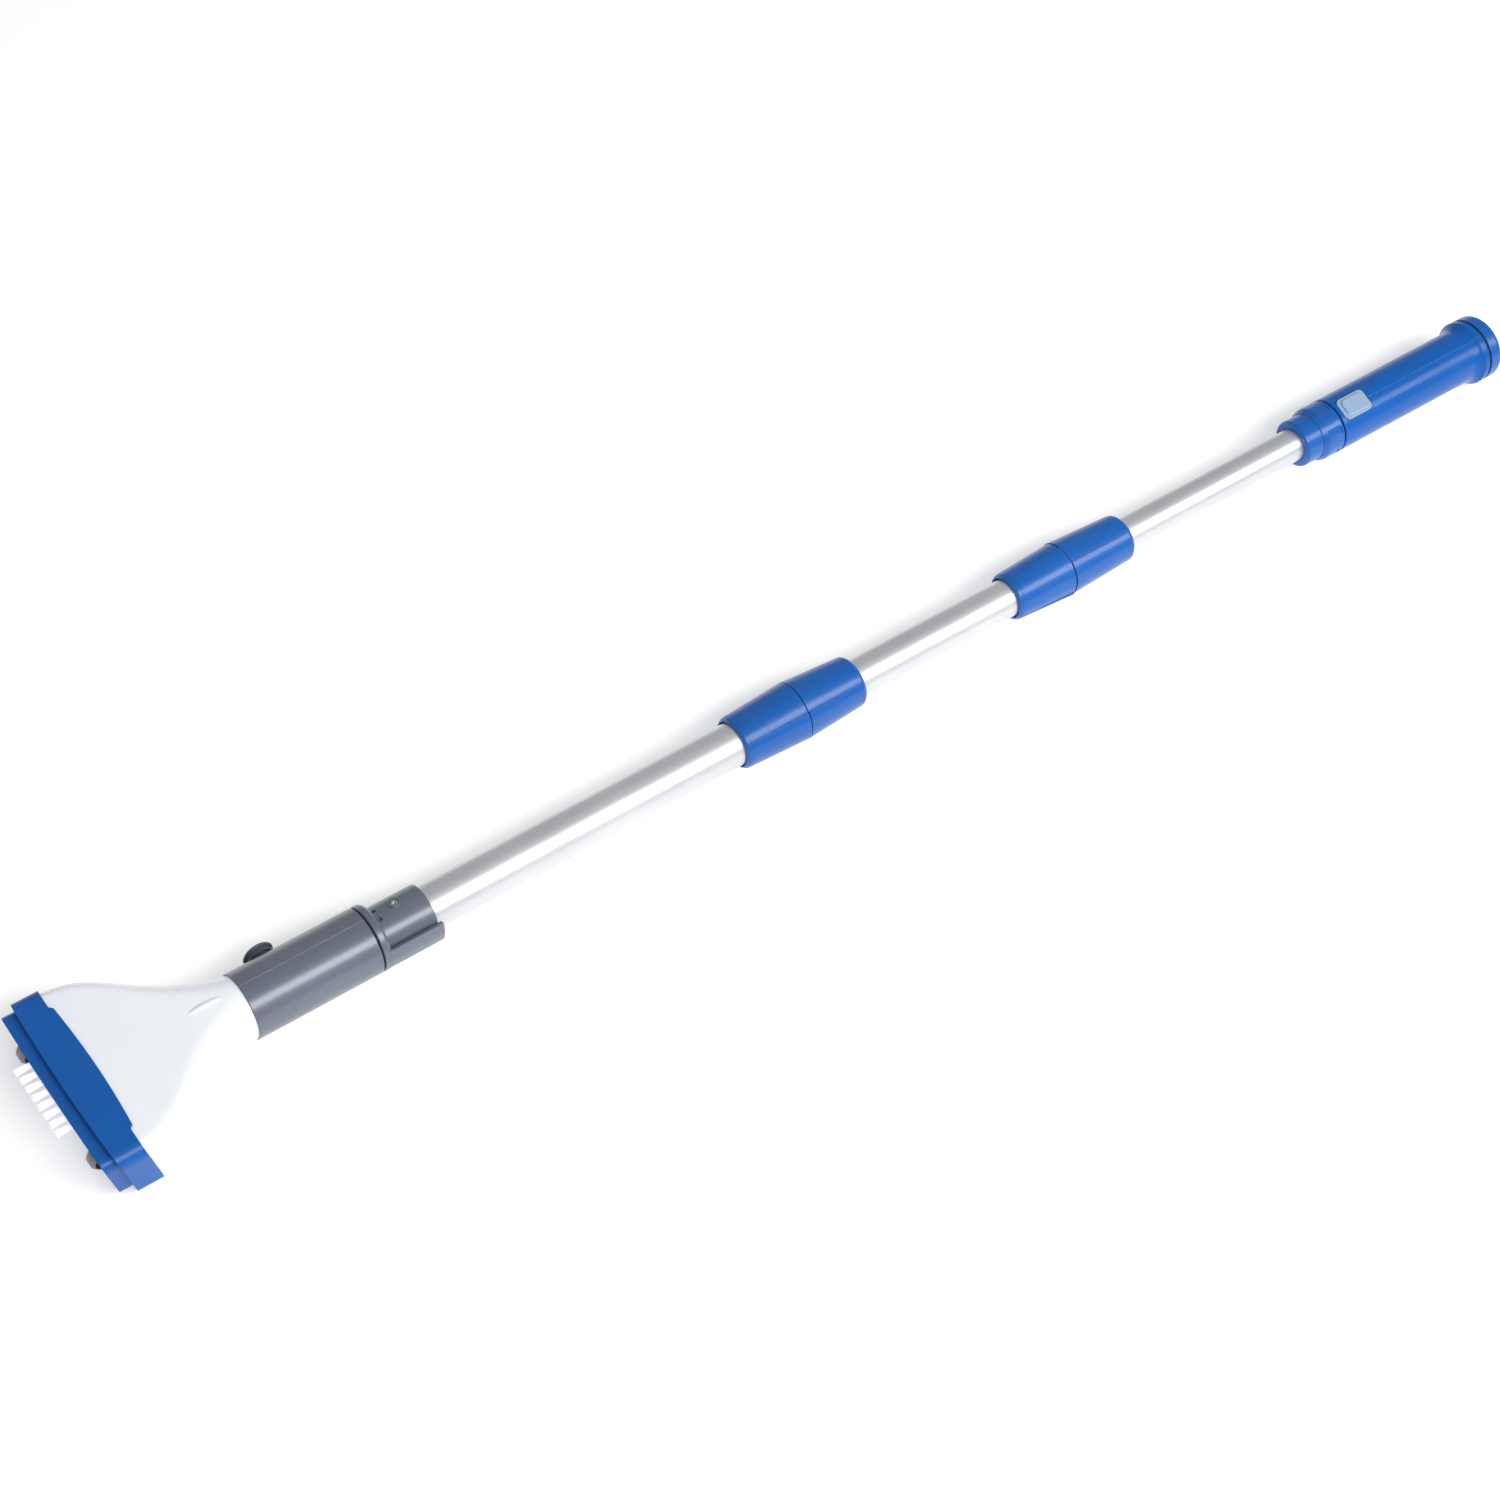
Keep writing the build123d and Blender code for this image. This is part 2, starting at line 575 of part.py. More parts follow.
# --------------------------------------------------------------------- grip
with BuildPart() as grip_core:
    with BuildSketch(AXP):
        with BuildLine():
            Polyline((499.0, T3_R + 0.02), (499.0, 15.0), (521.6, 15.0), (521.6, 17.7), (523.0, 17.7),
                     (523.0, 3.0), (T3_X1, 3.0), (T3_X1, T3_R + 0.02), close=True)
        make_face()
    revolve(axis=POLE)

with BuildPart() as grip_collar:
    with BuildSketch(AXP):
        with BuildLine():
            Polyline((487.0, 12.3), (487.0, 15.6))
            ThreePointArc((487.0, 15.6), (487.8, 16.9), (490.0, 17.4))
            Polyline((490.0, 17.4), (500.8, 17.4))
            ThreePointArc((500.8, 17.4), (501.4, 17.6), (501.7, 18.2))
            Polyline((501.7, 18.2), (504.6, 19.6))
            ThreePointArc((504.6, 19.6), (505.6, 19.9), (507.0, 20.0))
            Line((507.0, 20.0), (518.4, 20.0))
            ThreePointArc((518.4, 20.0), (519.9, 19.7), (520.4, 18.9))
            Polyline((520.4, 18.9), (520.4, 15.3), (497.0, 15.3), (497.0, 12.3), (487.0, 12.3))
        make_face()
    revolve(axis=POLE)
    # shallow finger scallops round the wide ring
    with BuildSketch(cross(505.4)):
        with PolarLocations(43.4, 6, start_angle=20):
            Circle(24.0)
    extrude(amount=12.6, mode=Mode.SUBTRACT)

GRIP_SIDE = [(521.4, GRIP_IN), (521.4, 19.2)]
with BuildPart() as grip_shell_right:
    with BuildSketch(around(GRIP_TURN)):
        with BuildLine():
            Polyline((645.0, GRIP_IN), (521.4, GRIP_IN), (521.4, 19.2))
            ThreePointArc((521.4, 19.2), (521.7, 19.8), (522.3, GRIP_R))
            Line((522.3, GRIP_R), (648.4, GRIP_R))
            ThreePointArc((648.4, GRIP_R), (653.8, 20.9), (657.2, 23.4))
            ThreePointArc((657.2, 23.4), (657.9, 23.9), (658.8, FLANGE_R))
            Line((658.8, FLANGE_R), (661.6, FLANGE_R))
            ThreePointArc((661.6, FLANGE_R), (662.2, 23.9), (662.5, 23.3))
            Polyline((662.5, 23.3), (662.5, 19.6), (645.0, 19.6), (645.0, GRIP_IN))
        make_face()
    revolve(axis=POLE, revolution_arc=180)
    with BuildSketch(outward(BTN_X, GRIP_TURN, 12.0)):
        RectangleRounded(BTN_L + 0.8, BTN_W + 0.8, 4.2)
    extrude(amount=12.0, mode=Mode.SUBTRACT)

with BuildPart() as grip_shell_left:
    with BuildSketch(around(GRIP_TURN + 180)):
        with BuildLine():
            Polyline((645.0, GRIP_IN), (521.4, GRIP_IN), (521.4, 19.2))
            ThreePointArc((521.4, 19.2), (521.7, 19.8), (522.3, GRIP_R))
            Line((522.3, GRIP_R), (648.4, GRIP_R))
            ThreePointArc((648.4, GRIP_R), (653.8, 20.9), (657.2, 23.4))
            ThreePointArc((657.2, 23.4), (657.9, 23.9), (658.8, FLANGE_R))
            Line((658.8, FLANGE_R), (661.6, FLANGE_R))
            ThreePointArc((661.6, FLANGE_R), (662.2, 23.9), (662.5, 23.3))
            Polyline((662.5, 23.3), (662.5, 19.6), (645.0, 19.6), (645.0, GRIP_IN))
        make_face()
    revolve(axis=POLE, revolution_arc=180)
    with BuildSketch(outward(BTN_X, GRIP_TURN, 12.0)):
        RectangleRounded(BTN_L + 0.8, BTN_W + 0.8, 4.2)
    extrude(amount=12.0, mode=Mode.SUBTRACT)

# soft push button: low base, raised pad, retaining tongues and a stem
with BuildPart() as button:
    with BuildSketch(outward(BTN_X, GRIP_TURN, 16.4)):
        RectangleRounded(BTN_L, BTN_W, 3.9)
    extrude(amount=3.2)
    with BuildSketch(outward(BTN_X + 0.6, GRIP_TURN, 19.4)):
        RectangleRounded(BTN_L - 4.0, BTN_W - 3.4, 3.6)
    extrude(amount=1.6, taper=14)
    fillet(button.faces().sort_by_distance(outward(BTN_X, GRIP_TURN, 60.0).origin)[0].edges(), 0.7)
    with BuildSketch(outward(BTN_X + 0.4, GRIP_TURN, 15.5)):
        RectangleRounded(29.0, 11.6, 2.0)
    extrude(amount=0.95)
    with BuildSketch(outward(BTN_X, GRIP_TURN, 14.2)):
        Circle(1.8)
    extrude(amount=1.6)

with BuildPart() as switch_board:
    with BuildSketch(outward(548.0, GRIP_TURN, 4.4)):
        Rectangle(38.0, 33.2)
    extrude(amount=1.6)

with BuildPart() as switch_body:
    with BuildSketch(outward(BTN_X, GRIP_TURN, 6.0)):
        Rectangle(12.0, 12.0)
    extrude(amount=4.4)
    with BuildSketch(outward(BTN_X, GRIP_TURN, 10.4)):
        Circle(3.4)
    extrude(amount=2.0)

with BuildPart() as contact_front:
    with BuildSketch(cross(573.0)):
        Circle(16.8)
        Circle(2.0, mode=Mode.SUBTRACT)
    extrude(amount=1.2)
    with BuildSketch(cross(574.2)):
        with PolarLocations(8.4, 3, start_angle=90):
            Circle(2.4)
    extrude(amount=2.6)

with BuildPart() as battery_carrier:
    with BuildSketch(AXP):
        with BuildLine():
            Polyline((578.0, 0.0), (578.0, 17.3), (636.5, 17.3), (636.5, 0.0), (634.0, 0.0),
                     (634.0, 16.1), (580.5, 16.1), (580.5, 0.0), close=True)
        make_face()
    revolve(axis=POLE)
    with BuildSketch(cross(577.0)):
        with PolarLocations(8.4, 3, start_angle=90):
            Circle(3.0)
    extrude(amount=4.0, mode=Mode.SUBTRACT)
    for a in (30.0, 150.0, 270.0):
        with BuildSketch(outward(607.2, a, 10.0)):
            RectangleRounded(44.0, 18.0, 3.0)
        extrude(amount=10.0, mode=Mode.SUBTRACT)

with BuildPart() as battery_cells:
    with BuildSketch(cross(582.2)):
        with PolarLocations(8.4, 3, start_angle=90):
            Circle(7.2)
    extrude(amount=49.2)
    with BuildSketch(cross(580.7)):
        with PolarLocations(8.4, 3, start_angle=90):
            Circle(2.7)
    extrude(amount=1.5)

# ------------------------------------------------------------------ end cap
with BuildPart() as cap_seal:
    with BuildSketch(AXP):
        with BuildLine():
            Polyline((662.6, 19.35), (662.6, 22.3))
            ThreePointArc((662.6, 22.3), (663.5, 23.0), (664.4, 22.3))
            Polyline((664.4, 22.3), (664.4, 19.35), (662.6, 19.35))
        make_face()
    revolve(axis=POLE)

with BuildPart() as end_cap:
    with BuildSketch(AXP):
        with BuildLine():
            Polyline((650.0, 16.6), (650.0, 19.0), (664.5, 19.0), (664.5, 23.2))
            ThreePointArc((664.5, 23.2), (664.7, 23.8), (665.3, 24.0))
            Line((665.3, 24.0), (671.6, 24.0))
            ThreePointArc((671.6, 24.0), (674.6, 22.8), (675.9, 19.8))
            Polyline((675.9, 19.8), (676.2, 0.0), (672.8, 0.0), (672.8, 16.6), (650.0, 16.6))
        make_face()
    revolve(axis=POLE)

with BuildPart() as cap_contact:
    with BuildSketch(AXP):
        with BuildLine():
            Polyline((637.4, 0.0), (637.4, 9.0), (638.6, 9.0), (650.4, 12.6), (650.4, 16.5), (652.0, 16.5),
                     (652.0, 11.6), (639.4, 7.6), (639.4, 0.0), close=True)
        make_face()
    revolve(axis=POLE)

# ------------------------------------------------------------------- export
os.makedirs("parts", exist_ok=True)
head_shell.part.label = "head_shell"
export_step(head_shell.part, "parts/head_shell.step")
mouth_frame.part.label = "mouth_frame"
export_step(mouth_frame.part, "parts/mouth_frame.step")
brush_strip.part.label = "brush_strip"
export_step(brush_strip.part, "parts/brush_strip.step")
bristle_tufts.part.label = "bristle_tufts"
export_step(bristle_tufts.part, "parts/bristle_tufts.step")
wheel_axles.part.label = "wheel_axles"
export_step(wheel_axles.part, "parts/wheel_axles.step")
wheel_left.part.label = "wheel_left"
export_step(wheel_left.part, "parts/wheel_left.step")
wheel_right.part.label = "wheel_right"
export_step(wheel_right.part, "parts/wheel_right.step")
neck_seal.part.label = "neck_seal"
export_step(neck_seal.part, "parts/neck_seal.step")
filter_basket.part.label = "filter_basket"
export_step(filter_basket.part, "parts/filter_basket.step")
sleeve_left.part.label = "sleeve_left"
export_step(sleeve_left.part, "parts/sleeve_left.step")
sleeve_right.part.label = "sleeve_right"
export_step(sleeve_right.part, "parts/sleeve_right.step")
outlet_spigot.part.label = "outlet_spigot"
export_step(outlet_spigot.part, "parts/outlet_spigot.step")
pump_plate.part.label = "pump_plate"
export_step(pump_plate.part, "parts/pump_plate.step")
shaft_seal.part.label = "shaft_seal"
export_step(shaft_seal.part, "parts/shaft_seal.step")
motor.part.label = "motor"
export_step(motor.part, "parts/motor.step")
motor_shaft.part.label = "motor_shaft"
export_step(motor_shaft.part, "parts/motor_shaft.step")
impeller.part.label = "impeller"
export_step(impeller.part, "parts/impeller.step")
latch_collar.part.label = "latch_collar"
export_step(latch_collar.part, "parts/latch_collar.step")
coupler.part.label = "coupler"
export_step(coupler.part, "parts/coupler.step")
coupler_screw.part.label = "coupler_screw"
export_step(coupler_screw.part, "parts/coupler_screw.step")
outer_tube.part.label = "outer_tube"
export_step(outer_tube.part, "parts/outer_tube.step")
middle_tube.part.label = "middle_tube"
export_step(middle_tube.part, "parts/middle_tube.step")
middle_bushing.part.label = "middle_bushing"
export_step(middle_bushing.part, "parts/middle_bushing.step")
inner_tube.part.label = "inner_tube"
export_step(inner_tube.part, "parts/inner_tube.step")
inner_bushing.part.label = "inner_bushing"
export_step(inner_bushing.part, "parts/inner_bushing.step")
lock1_base.part.label = "lock1_base"
export_step(lock1_base.part, "parts/lock1_base.step")
lock1_nut.part.label = "lock1_nut"
export_step(lock1_nut.part, "parts/lock1_nut.step")
lock1_collet.part.label = "lock1_collet"
export_step(lock1_collet.part, "parts/lock1_collet.step")
lock2_base.part.label = "lock2_base"
export_step(lock2_base.part, "parts/lock2_base.step")
lock2_nut.part.label = "lock2_nut"
export_step(lock2_nut.part, "parts/lock2_nut.step")
lock2_collet.part.label = "lock2_collet"
export_step(lock2_collet.part, "parts/lock2_collet.step")
grip_core.part.label = "grip_core"
export_step(grip_core.part, "parts/grip_core.step")
grip_collar.part.label = "grip_collar"
export_step(grip_collar.part, "parts/grip_collar.step")
grip_shell_left.part.label = "grip_shell_left"
export_step(grip_shell_left.part, "parts/grip_shell_left.step")
grip_shell_right.part.label = "grip_shell_right"
export_step(grip_shell_right.part, "parts/grip_shell_right.step")
button.part.label = "button"
export_step(button.part, "parts/button.step")
switch_board.part.label = "switch_board"
export_step(switch_board.part, "parts/switch_board.step")
switch_body.part.label = "switch_body"
export_step(switch_body.part, "parts/switch_body.step")
contact_front.part.label = "contact_front"
export_step(contact_front.part, "parts/contact_front.step")
battery_carrier.part.label = "battery_carrier"
export_step(battery_carrier.part, "parts/battery_carrier.step")
battery_cells.part.label = "battery_cells"
export_step(battery_cells.part, "parts/battery_cells.step")
cap_seal.part.label = "cap_seal"
export_step(cap_seal.part, "parts/cap_seal.step")
end_cap.part.label = "end_cap"
export_step(end_cap.part, "parts/end_cap.step")
cap_contact.part.label = "cap_contact"
export_step(cap_contact.part, "parts/cap_contact.step")
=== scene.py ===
import bpy
import bmesh
import math
import random
from mathutils import Matrix, Vector


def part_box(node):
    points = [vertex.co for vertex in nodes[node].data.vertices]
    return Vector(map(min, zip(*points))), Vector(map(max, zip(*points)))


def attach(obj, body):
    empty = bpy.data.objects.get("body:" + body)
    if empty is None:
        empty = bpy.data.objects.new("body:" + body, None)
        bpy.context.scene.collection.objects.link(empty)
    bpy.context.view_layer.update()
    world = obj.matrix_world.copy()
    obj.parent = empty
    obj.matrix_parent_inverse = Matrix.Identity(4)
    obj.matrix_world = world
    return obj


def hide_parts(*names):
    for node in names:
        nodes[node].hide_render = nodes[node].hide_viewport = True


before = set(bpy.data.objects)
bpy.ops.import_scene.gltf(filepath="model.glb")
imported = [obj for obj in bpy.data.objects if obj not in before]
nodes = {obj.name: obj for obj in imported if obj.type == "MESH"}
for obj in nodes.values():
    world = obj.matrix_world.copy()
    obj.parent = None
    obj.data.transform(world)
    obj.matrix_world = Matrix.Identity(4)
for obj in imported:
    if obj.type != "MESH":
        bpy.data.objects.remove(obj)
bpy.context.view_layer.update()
scene = bpy.context.scene
rng = random.Random(7)

# ---------------------------------------------------------------- the frame
XC, AX, HZ, TILT, X_MOUTH = 0.0821, 0.0241, -0.0006, math.radians(13.0), -0.4974
mm = 0.001


def at(x, angle=0.0, r=0.0):
    """Row-frame point at design x (mm), angle from the top towards +Y, radius r (mm)."""
    a = math.radians(angle)
    return Vector((x * mm - XC, r * mm * math.sin(a), AX + r * mm * math.cos(a)))


# ---------------------------------------------------------------- materials
def new_mat(name):
    m = bpy.data.materials.new(name)
    m.use_nodes = True
    nt = m.node_tree
    nt.nodes.clear()
    out = nt.nodes.new("ShaderNodeOutputMaterial")
    bs = nt.nodes.new("ShaderNodeBsdfPrincipled")
    nt.links.new(bs.outputs[0], out.inputs[0])
    tc = nt.nodes.new("ShaderNodeTexCoord")
    return m, nt, bs, tc.outputs["Object"]


def mapping(nt, vec, scale=(1, 1, 1), loc=(0, 0, 0)):
    n = nt.nodes.new("ShaderNodeMapping")
    n.inputs["Scale"].default_value = scale
    n.inputs["Location"].default_value = loc
    nt.links.new(vec, n.inputs[0])
    return n.outputs[0]


def noise(nt, vec, scale, detail=3.0, rough=0.55, distort=0.0):
    n = nt.nodes.new("ShaderNodeTexNoise")
    n.inputs["Scale"].default_value = scale
    n.inputs["Detail"].default_value = detail
    n.inputs["Roughness"].default_value = rough
    n.inputs["Distortion"].default_value = distort
    nt.links.new(vec, n.inputs["Vector"])
    return n.outputs[0]


def remap(nt, val, a, b, c, d, clamp=True):
    n = nt.nodes.new("ShaderNodeMapRange")
    n.clamp = clamp
    for i, x in enumerate((a, b, c, d)):
        n.inputs[1 + i].default_value = x
    nt.links.new(val, n.inputs[0])
    return n.outputs[0]


def math_node(nt, op, a, b=None, c=None):
    n = nt.nodes.new("ShaderNodeMath")
    n.operation = op
    for i, x in enumerate((a, b, c)):
        if x is None:
            continue
        if isinstance(x, (int, float)):
            n.inputs[i].default_value = x
        else:
            nt.links.new(x, n.inputs[i])
    return n.outputs[0]


def mix_col(nt, fac, a, b):
    n = nt.nodes.new("ShaderNodeMix")
    n.data_type = "RGBA"
    nt.links.new(fac, n.inputs[0])
    for sock, x in ((n.inputs[6], a), (n.inputs[7], b)):
        if isinstance(x, tuple):
            sock.default_value = (*x, 1.0)
        else:
            nt.links.new(x, sock)
    return n.outputs[2]


def bump(nt, bs, height, strength, distance, normal=None):
    n = nt.nodes.new("ShaderNodeBump")
    n.inputs["Strength"].default_value = strength
    n.inputs["Distance"].default_value = distance
    nt.links.new(height, n.inputs["Height"])
    if normal is not None:
        nt.links.new(normal, n.inputs["Normal"])
    nt.links.new(n.outputs[0], bs.inputs["Normal"])
    return n.outputs[0]


def angle_line(nt, vec, angle, width, opposite=True):
    """Mask, 1 on a thin line along the pole at this angle from the top, and on its opposite."""
    sep = nt.nodes.new("ShaderNodeSeparateXYZ")
    nt.links.new(vec, sep.inputs[0])
    z = math_node(nt, "SUBTRACT", sep.outputs[2], AX)
    a = math.radians(angle)
    # distance from the plane through the pole's axis at the angle
    d = math_node(nt, "SUBTRACT", math_node(nt, "MULTIPLY", sep.outputs[1], math.cos(a)),
                  math_node(nt, "MULTIPLY", z, math.sin(a)))
    return remap(nt, math_node(nt, "ABSOLUTE", d), width * 0.5, width, 1.0, 0.0)


def rounded_edges(nt, radius):
    n = nt.nodes.new("ShaderNodeBevel")
    n.samples = 6
    n.inputs["Radius"].default_value = radius
    return n.outputs[0]


def plastic(name, col, dark, light, rough, grain=0.25, coat=0.0, spec=0.5, seam_and_highlight=None, sss=0.0,
            grain_scale=1100.0, wear=0.25, edge=0.0004):
    m, nt, bs, vec = new_mat(name)
    broad = noise(nt, vec, 9.0, 3.0)
    c = mix_col(nt, remap(nt, broad, 0.35, 0.65, 0.0, 1.0), dark, col)
    # fine rubbed marks
    scr = noise(nt, mapping(nt, vec, (26.0, 420.0, 420.0)), 1.0, 4.0, 0.62, 0.4)
    marks = remap(nt, scr, 0.62, 0.80, 0.0, wear * 0.4)
    c = mix_col(nt, marks, c, light)
    speck = noise(nt, vec, 900.0, 2.0)
    c = mix_col(nt, remap(nt, speck, 0.45, 0.85, 0.0, 0.05), c, light)
    normal = rounded_edges(nt, edge) if edge > 0 else None
    if seam_and_highlight is not None:
        # Along the seam the colour is lifted towards the light colour: a painted highlight on the seam ridge;
        # the bump below shapes the ridge itself.
        line = angle_line(nt, vec, seam_and_highlight, 0.00022)
        c = mix_col(nt, math_node(nt, "MULTIPLY", line, 0.55), c, light)
        normal = bump(nt, bs, line, 0.5, 0.0003, normal)
    nt.links.new(c, bs.inputs["Base Color"])
    r = math_node(nt, "ADD", remap(nt, noise(nt, vec, 22.0, 1.0), 0.3, 0.7, rough - 0.02, rough + 0.03),
                  math_node(nt, "MULTIPLY", marks, 0.2))
    nt.links.new(r, bs.inputs["Roughness"])
    bs.inputs["Specular IOR Level"].default_value = spec
    bs.inputs["Coat Weight"].default_value = coat
    bs.inputs["Coat Roughness"].default_value = 0.08
    if sss > 0:
        bs.inputs["Subsurface Weight"].default_value = sss
        bs.inputs["Subsurface Radius"].default_value = (0.004, 0.004, 0.004)
        bs.inputs["Subsurface Scale"].default_value = 1.0
    h = math_node(nt, "ADD", noise(nt, vec, grain_scale, 2.0),
                  math_node(nt, "MULTIPLY", noise(nt, vec, grain_scale * 0.3, 2.0), 0.6))
    bump(nt, bs, h, grain, 0.00005, normal)
    return m


def tube_metal(name, col, dark, rough):
    m, nt, bs, vec = new_mat(name)
    drawn = noise(nt, mapping(nt, vec, (3.0, 900.0, 900.0)), 1.0, 4.0, 0.6)
    cloud = noise(nt, vec, 14.0, 3.0)
    c = mix_col(nt, remap(nt, drawn, 0.3, 0.7, 0.0, 1.0), dark, col)
    c = mix_col(nt, remap(nt, cloud, 0.35, 0.75, 0.0, 0.25), c, (0.93, 0.94, 0.95))
    ring = noise(nt, mapping(nt, vec, (140.0, 1.5, 1.5)), 1.0, 3.0, 0.6)
    scuff = remap(nt, ring, 0.66, 0.74, 0.0, 0.08)
    c = mix_col(nt, scuff, c, dark)
    nt.links.new(c, bs.inputs["Base Color"])
    bs.inputs["Metallic"].default_value = 0.85
    r = math_node(nt, "ADD", remap(nt, drawn, 0.25, 0.75, rough - 0.02, rough + 0.03),
                  math_node(nt, "MULTIPLY", scuff, 0.25))
    nt.links.new(r, bs.inputs["Roughness"])
    bump(nt, bs, drawn, 0.03, 0.00002)
    return m


def steel(name, col, rough):
    m, nt, bs, vec = new_mat(name)
    turned = noise(nt, mapping(nt, vec, (1800.0, 120.0, 120.0)), 1.0, 3.0)
    c = mix_col(nt, remap(nt, turned, 0.3, 0.7, 0.0, 1.0), tuple(x * 0.72 for x in col), col)
    nt.links.new(c, bs.inputs["Base Color"])
    bs.inputs["Metallic"].default_value = 1.0
    nt.links.new(remap(nt, turned, 0.3, 0.7, rough - 0.05, rough + 0.12), bs.inputs["Roughness"])
    bump(nt, bs, turned, 0.2, 0.00008)
    return m


def rubber(name, col, light, rough):
    m, nt, bs, vec = new_mat(name)
    dust = noise(nt, vec, 240.0, 4.0, 0.65)
    nt.links.new(mix_col(nt, remap(nt, dust, 0.5, 0.85, 0.0, 0.6), col, light), bs.inputs["Base Color"])
    nt.links.new(remap(nt, dust, 0.3, 0.8, rough, rough + 0.15), bs.inputs["Roughness"])
    bump(nt, bs, noise(nt, vec, 3000.0, 2.0), 0.3, 0.0001)
    return m


M = {
    "blue": plastic("blue_plastic", (0.0012, 0.098, 0.400), (0.0008, 0.086, 0.360), (0.08, 0.27, 0.60), 0.30,
                    grain=0.05, coat=0.12, spec=0.42, wear=0.05),
    "blue_grip": plastic("blue_grip_plastic", (0.0012, 0.098, 0.400), (0.0008, 0.086, 0.360), (0.08, 0.27, 0.60),
                         0.27, grain=0.05, coat=0.05, spec=0.26, seam_and_highlight=-16.0, wear=0.05),
    "bumper": plastic("bumper_plastic", (0.0015, 0.096, 0.390), (0.001, 0.084, 0.345), (0.09, 0.26, 0.58), 0.33,
                      grain=0.08, coat=0.06, spec=0.32, wear=0.08, edge=0.0011),
    "white": plastic("white_plastic", (0.875, 0.895, 0.935), (0.84, 0.865, 0.915), (0.93, 0.93, 0.95), 0.24,
                     grain=0.03, coat=0.45, sss=0.04, wear=0.10),
    "grey": plastic("grey_plastic", (0.102, 0.126, 0.170), (0.088, 0.110, 0.150), (0.38, 0.42, 0.48), 0.30,
                    grain=0.08, coat=0.20, spec=0.85, seam_and_highlight=2.0, wear=0.06),
    "grey_plain": plastic("grey_coupler_plastic", (0.102, 0.126, 0.170), (0.088, 0.110, 0.150),
                          (0.38, 0.42, 0.48), 0.30, grain=0.08, coat=0.20, spec=0.85, wear=0.06),
    "grey_tab": plastic("grey_tab_plastic", (0.102, 0.126, 0.170), (0.088, 0.110, 0.150),
                        (0.38, 0.42, 0.48), 0.30, grain=0.08, coat=0.20, spec=0.85, seam_and_highlight=-89.0, wear=0.06),
    "dark": plastic("dark_plastic", (0.062, 0.076, 0.092), (0.050, 0.062, 0.076), (0.22, 0.24, 0.27), 0.36,
                    grain=0.12, wear=0.12),
    "roller": plastic("roller_plastic", (0.225, 0.225, 0.235), (0.18, 0.18, 0.19), (0.45, 0.45, 0.46), 0.44,
                      grain=0.2, wear=0.25),
    "tube": tube_metal("satin_tube_metal", (0.69, 0.70, 0.725), (0.63, 0.64, 0.67), 0.41),
    "steel": steel("stainless_steel", (0.66, 0.66, 0.67), 0.26),
    "rubber": rubber("seal_rubber", (0.012, 0.012, 0.014), (0.07, 0.07, 0.07), 0.55),
    "button": plastic("button_soft_plastic", (0.29, 0.40, 0.57), (0.25, 0.36, 0.53), (0.60, 0.68, 0.82), 0.38,
                      grain=0.08, sss=0.25, wear=0.06),
    "nylon": plastic("natural_nylon", (0.70, 0.70, 0.66), (0.62, 0.62, 0.57), (0.85, 0.85, 0.82), 0.45,
                     grain=0.2, sss=0.1),
    "bristle": plastic("bristle_nylon", (0.93, 0.93, 0.95), (0.86, 0.86, 0.90), (0.98, 0.98, 0.99), 0.30,
                       grain=0.0, sss=0.25, edge=0.0),
    "board": plastic("board_coating", (0.010, 0.085, 0.040), (0.007, 0.060, 0.028), (0.2, 0.35, 0.2), 0.35),
    "cell": plastic("cell_wrap", (0.03, 0.035, 0.05), (0.02, 0.025, 0.035), (0.15, 0.16, 0.2), 0.25, coat=0.3),
}

LOOK = {
    "head_shell": "white", "mouth_frame": "bumper", "brush_strip": "white", "bristle_tufts": "bristle",
    "wheel_axles": "steel", "wheel_left": "roller", "wheel_right": "roller", "neck_seal": "rubber",
    "filter_basket": "nylon", "sleeve_left": "grey", "sleeve_right": "grey", "outlet_spigot": "dark",
    "pump_plate": "dark", "shaft_seal": "rubber", "motor": "steel", "motor_shaft": "steel",
    "impeller": "nylon", "latch_collar": "grey_tab", "coupler": "grey_plain", "coupler_screw": "steel",
    "outer_tube": "tube", "middle_tube": "tube", "middle_bushing": "nylon", "inner_tube": "tube",
    "inner_bushing": "nylon", "lock1_base": "blue", "lock1_nut": "blue", "lock1_collet": "nylon",
    "lock2_base": "blue", "lock2_nut": "blue", "lock2_collet": "nylon", "grip_core": "blue",
    "grip_collar": "blue", "grip_shell_left": "blue_grip", "grip_shell_right": "blue_grip",
    "button": "button", "switch_board": "board", "switch_body": "dark", "contact_front": "steel",
    "battery_carrier": "dark", "battery_cells": "cell", "cap_seal": "rubber", "end_cap": "blue",
    "cap_contact": "steel",
}
for name, look in LOOK.items():
    o = nodes[name]
    if not o.material_slots:
        o.data.materials.append(M[look])
    for s in o.material_slots:
        s.material = M[look]


# -------------------------------------------------------------- new pieces
def mesh_piece(name, verts, faces, mat, body, smooth=True):
    me = bpy.data.meshes.new(name)
    me.from_pydata([tuple(v) for v in verts], [], faces)
    me.update()
    o = bpy.data.objects.new(name, me)
    scene.collection.objects.link(o)
    me.materials.append(mat)
    for p in me.polygons:
        p.use_smooth = smooth
    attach(o, body)
    return o


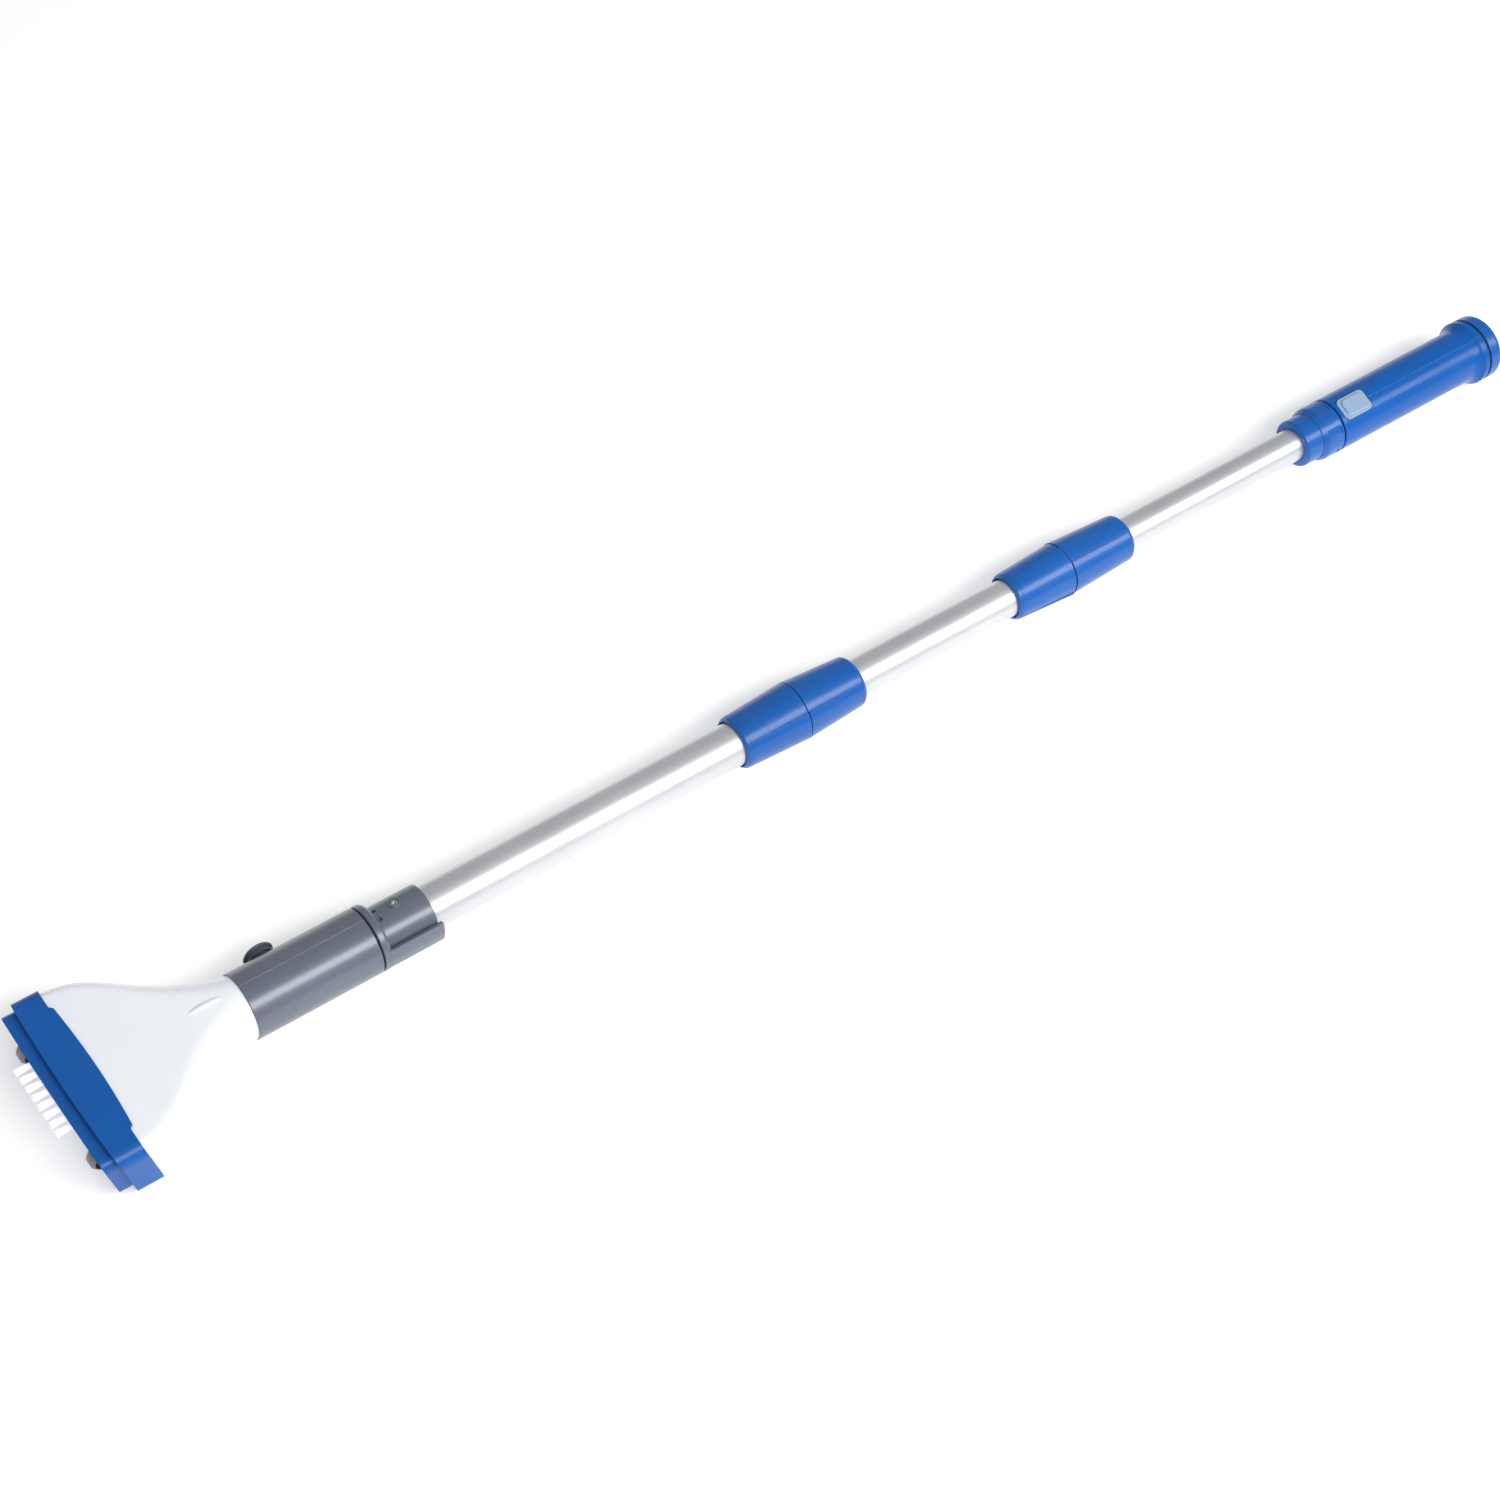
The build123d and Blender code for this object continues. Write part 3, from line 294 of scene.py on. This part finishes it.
# bristles: fans of thin tapered filaments standing in each tuft hole
lo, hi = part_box("bristle_tufts")
root_x, tip_x = hi[0], lo[0]
zc = 0.5 * (lo[2] + hi[2])
verts, faces = [], []
for k in range(8):
    yc = (k - 3.5) * 7.0 * mm
    for i in range(90):
        rr = 1.62 * mm * math.sqrt((i + 0.5) / 90)
        an = i * 2.399963
        ry, rz = rr * math.cos(an), rr * math.sin(an)
        spread = 1.44 + rng.uniform(-0.05, 0.07)
        ty = ry * spread + rng.gauss(0, 0.05 * mm)
        tz = rz * spread + rng.gauss(0, 0.05 * mm)
        bow = rng.uniform(0.4, 0.75)
        end = tip_x + rng.uniform(0.0, 0.22) * mm
        fr = 0.125 * mm
        base = len(verts)
        rings = 5
        for j in range(rings):
            t = j / (rings - 1)
            e = t ** (1 + bow)
            cx = (root_x + 0.6 * mm) * (1 - t) + end * t
            cy = yc + ry * (1 - e) + ty * e
            cz = zc + rz * (1 - e) + tz * e
            fr_t = fr * (1.0 - 0.25 * t)
            for q in range(5):
                w = q * 2 * math.pi / 5
                verts.append((cx, cy + fr_t * math.cos(w), cz + fr_t * math.sin(w)))
        for j in range(rings - 1):
            for q in range(5):
                a = base + j * 5 + q
                b = base + j * 5 + (q + 1) % 5
                faces.append((a, b, b + 5, a + 5))
        faces.append(tuple(base + (rings - 1) * 5 + q for q in range(5)))
        faces.append(tuple(base + q for q in reversed(range(5))))
# Painted light: the bristle material glows faintly bluish white (emission 0.28), standing in for light passing
# through and between the nylon filaments.
bb = M["bristle"].node_tree.nodes["Principled BSDF"]
bb.inputs["Emission Color"].default_value = (0.90, 0.92, 1.0, 1.0)
bb.inputs["Emission Strength"].default_value = 0.28
br = mesh_piece("bristle_filaments", verts, faces, M["bristle"], "head")
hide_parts("bristle_tufts")

# ------------------------------------------------------------------- floor
me = bpy.data.meshes.new("floor")
bm = bmesh.new()
bmesh.ops.create_grid(bm, x_segments=2, y_segments=2, size=30.0)
bm.to_mesh(me)
bm.free()
floor = bpy.data.objects.new("floor", me)
scene.collection.objects.link(floor)
fm, nt, bs, vec = new_mat("floor_paper")
soft = noise(nt, vec, 2.0, 2.0)
nt.links.new(mix_col(nt, soft, (0.76, 0.76, 0.76), (0.78, 0.78, 0.78)), bs.inputs["Base Color"])
bs.inputs["Roughness"].default_value = 0.9
bs.inputs["Specular IOR Level"].default_value = 0.1
bs.inputs["Emission Color"].default_value = (1.0, 1.0, 1.0, 1.0)
bs.inputs["Emission Strength"].default_value = 0.43
me.materials.append(fm)

# ------------------------------------------------------------------- light
world = bpy.data.worlds.new("studio")
scene.world = world
world.use_nodes = True
bg = world.node_tree.nodes["Background"]
bg.inputs[0].default_value = (1.0, 1.0, 1.0, 1.0)
bg.inputs[1].default_value = 0.43


def area(name, direction, dist, size, energy, colour=(1, 1, 1), centre=(0, 0, 0.02)):
    li = bpy.data.lights.new(name, "AREA")
    li.shape = "RECTANGLE"
    li.size, li.size_y = size
    li.energy = energy
    li.color = colour
    o = bpy.data.objects.new(name, li)
    d = Vector(direction).normalized()
    o.location = Vector(centre) + d * dist
    o.rotation_mode = "QUATERNION"
    x = Vector((1, 0, 0))
    x = (x - d * x.dot(d)).normalized()
    y = d.cross(x)
    o.rotation_quaternion = Matrix((x, y, d)).transposed().to_quaternion()
    scene.collection.objects.link(o)
    return o


area("key", (0.0, -0.67, 0.74), 1.9, (3.3, 0.72), 50, centre=(0.60, 0, 0.02))

# ------------------------------------------------------------------ camera
v = Vector((-0.4043, -0.4434, 0.7999)).normalized()
X = Vector((1, 0, 0))
p = (X - v * X.dot(v)).normalized()
q = v.cross(p)
roll = math.radians(28.27)
right = p * math.cos(roll) - q * math.sin(roll)
up = p * math.sin(roll) + q * math.cos(roll)
target = at(0.0) - q * 0.00871
cam_data = bpy.data.cameras.new("camera")
cam_data.sensor_width = 36.0
cam_data.lens = 73.61
cam_data.clip_start = 0.05
cam_data.clip_end = 100.0
cam = bpy.data.objects.new("camera", cam_data)
scene.collection.objects.link(cam)
cam.matrix_world = Matrix((
    (right.x, up.x, v.x, (target + v * 2.0).x),
    (right.y, up.y, v.y, (target + v * 2.0).y),
    (right.z, up.z, v.z, (target + v * 2.0).z),
    (0, 0, 0, 1)))
scene.camera = cam
scene.view_settings.view_transform = "Standard"
scene.view_settings.look = "None"

bpy.context.view_layer.update()
